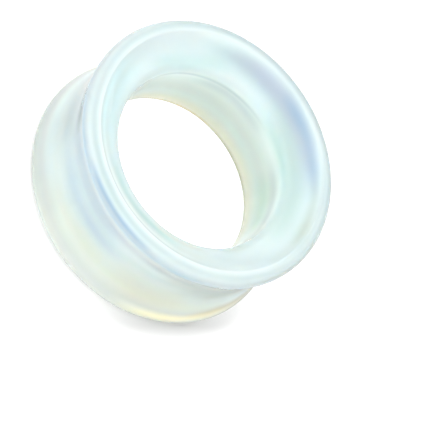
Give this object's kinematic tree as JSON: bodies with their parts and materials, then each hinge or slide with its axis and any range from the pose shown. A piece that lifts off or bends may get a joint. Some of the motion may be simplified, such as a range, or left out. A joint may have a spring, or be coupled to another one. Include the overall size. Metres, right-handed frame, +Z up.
{
  "type": "ear tunnel",
  "caption": "Double-flared ear tunnel of opalescent glass: a plain ring with a saddle for the stretched lobe, a rounded lip at each end and an open bore with a hollow funnel.",
  "frame": {"origin": "centre of the bottom rim's flat face, on the tunnel's axis", "axes": "+Z up along the tunnel's axis, from the bottom rim to the top rim; the tunnel is round, so X and Y are free"},
  "size_m": [0.0273, 0.0272, 0.0121],
  "materials": {
    "opal_glass": "polished opalescent milky glass, aqua and blue by reflected light and amber where light passes through"
  },
  "bodies": {
    "root": {"tunnel": "opal_glass"}
  },
  "joints": []
}
